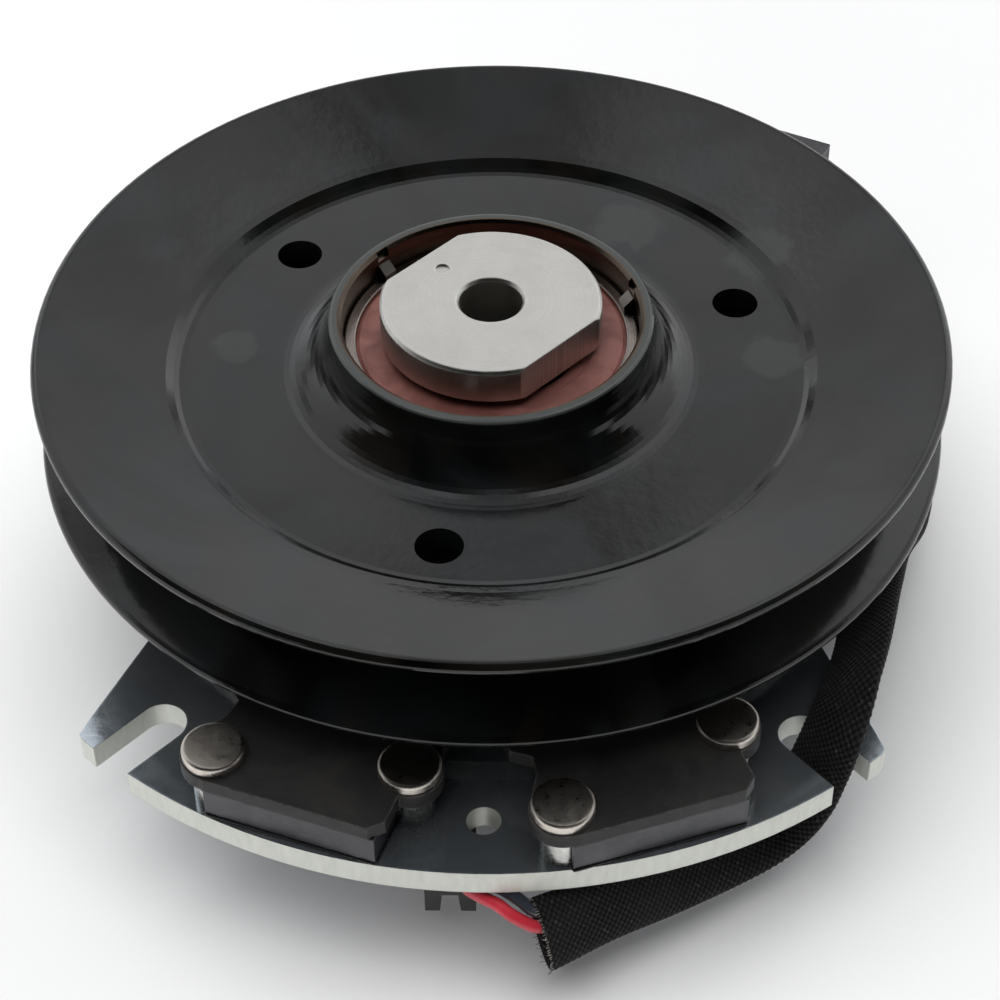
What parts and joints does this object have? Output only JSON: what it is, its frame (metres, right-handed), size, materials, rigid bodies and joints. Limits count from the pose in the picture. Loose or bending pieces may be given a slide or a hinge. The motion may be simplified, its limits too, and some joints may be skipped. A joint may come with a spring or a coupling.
{
  "type": "electromagnetic clutch",
  "caption": "Electromagnetic clutch and brake for a vertical engine shaft: stamped V-belt pulley, magnet brakes on a slotted zinc plate, and a sleeved lead with a plug.",
  "frame": {"origin": "on the shaft axis, in the plane of the engine-side face", "axes": "+Z along the shaft axis from the engine side to the pulley; -Y through the middle between the two brakes"},
  "size_m": [0.1648, 0.2265, 0.0701],
  "materials": {
    "black_steel": "satin black coat on steel",
    "pulley_black": "glossy black electrocoat on stamped steel",
    "zinc_plate": "bluish zinc plating on cold-rolled steel",
    "zinc_bright": "bright zinc plating",
    "black_oxide": "matt charcoal coat",
    "magnet": "satin dark ferrite",
    "rivet_steel": "turned, slightly warm steel",
    "machined_steel": "turned steel, lightly oiled",
    "bearing_steel": "ground and polished",
    "spring_steel": "blued spring steel",
    "seal_rubber": "matt red-brown rubber",
    "friction_lining": "moulded friction compound",
    "cage_nylon": "natural nylon",
    "nylon": "black glass-filled nylon",
    "copper_wire": "enamelled copper wire",
    "potting_resin": "poured resin",
    "red_insulation": "thin extruded insulation",
    "grey_insulation": "thin extruded insulation",
    "woven_sleeve": "flat woven sleeve with pale flecks",
    "connector_plastic": "dark moulded nylon",
    "terminal_brass": "plain brass"
  },
  "bodies": {
    "field": {"field_shell": "black_steel", "mounting_flange": "black_steel", "coil_bobbin": "nylon", "coil_winding": "copper_wire", "coil_potting": "potting_resin", "lead_grommet": "nylon", "bearing_snap_ring": "spring_steel", "field_bearing_outer_ring": "bearing_steel", "field_bearing_seals": "seal_rubber", "backing_plate": "zinc_plate", "plate_screws": "zinc_bright", "brake_magnet_left": "magnet", "brake_magnet_right": "magnet", "brake_pole_left": "black_oxide", "brake_pole_right": "black_oxide", "brake_standoffs": "zinc_bright", "brake_rivets": "rivet_steel", "lead_clip": "nylon", "red_wire": "red_insulation", "black_wire": "grey_insulation", "woven_sleeve": "woven_sleeve", "connector_housing": "connector_plastic", "connector_terminals": "terminal_brass"},
    "rotor": {"rotor_hub": "machined_steel", "rotor_disc": "machined_steel", "friction_ring": "friction_lining", "spacer": "machined_steel", "field_bearing_inner_ring": "bearing_steel", "pulley_bearing_inner_ring": "bearing_steel"},
    "field_ball_set": {"field_bearing_balls": "bearing_steel", "field_bearing_cage": "cage_nylon"},
    "pulley": {"pulley_upper_half": "pulley_black", "pulley_lower_half": "pulley_black", "pulley_bearing_outer_ring": "bearing_steel", "pulley_bearing_upper_seal": "seal_rubber", "pulley_bearing_lower_seal": "seal_rubber", "spring_carrier": "black_steel", "carrier_rivets": "rivet_steel", "leaf_springs": "spring_steel"},
    "pulley_ball_set": {"pulley_bearing_balls": "bearing_steel", "pulley_bearing_cage": "cage_nylon"},
    "armature": {"armature": "machined_steel", "armature_rivets": "rivet_steel", "spring_spacers": "zinc_bright"}
  },
  "joints": [
    {"name": "rotor_spin", "type": "hinge", "parent": "field", "child": "rotor", "pos_m": [0, 0, 0.01], "axis": [0, 0, 1], "continuous": true},
    {"name": "pulley_spin", "type": "hinge", "parent": "field", "child": "pulley", "pos_m": [0, 0, 0.0544], "axis": [0, 0, 1], "continuous": true},
    {"name": "armature_slide", "type": "slide", "parent": "pulley", "child": "armature", "axis": [0, 0, 1], "range_m": [-0.00045, 0], "stiffness_N_per_m": 20000, "springref_m": 0.001, "deforming": ["leaf_springs"]},
    {"name": "field_balls_roll", "type": "hinge", "parent": "field", "child": "field_ball_set", "pos_m": [0, 0, 0.01], "axis": [0, 0, 1], "continuous": true},
    {"name": "pulley_balls_roll", "type": "hinge", "parent": "pulley", "child": "pulley_ball_set", "pos_m": [0, 0, 0.0544], "axis": [0, 0, 1], "continuous": true}
  ],
  "couplings": [
    {"joint": "field_balls_roll", "follows": "rotor_spin", "ratio": 0.4186},
    {"joint": "pulley_balls_roll", "follows": "rotor_spin", "ratio": 0.3974}
  ]
}
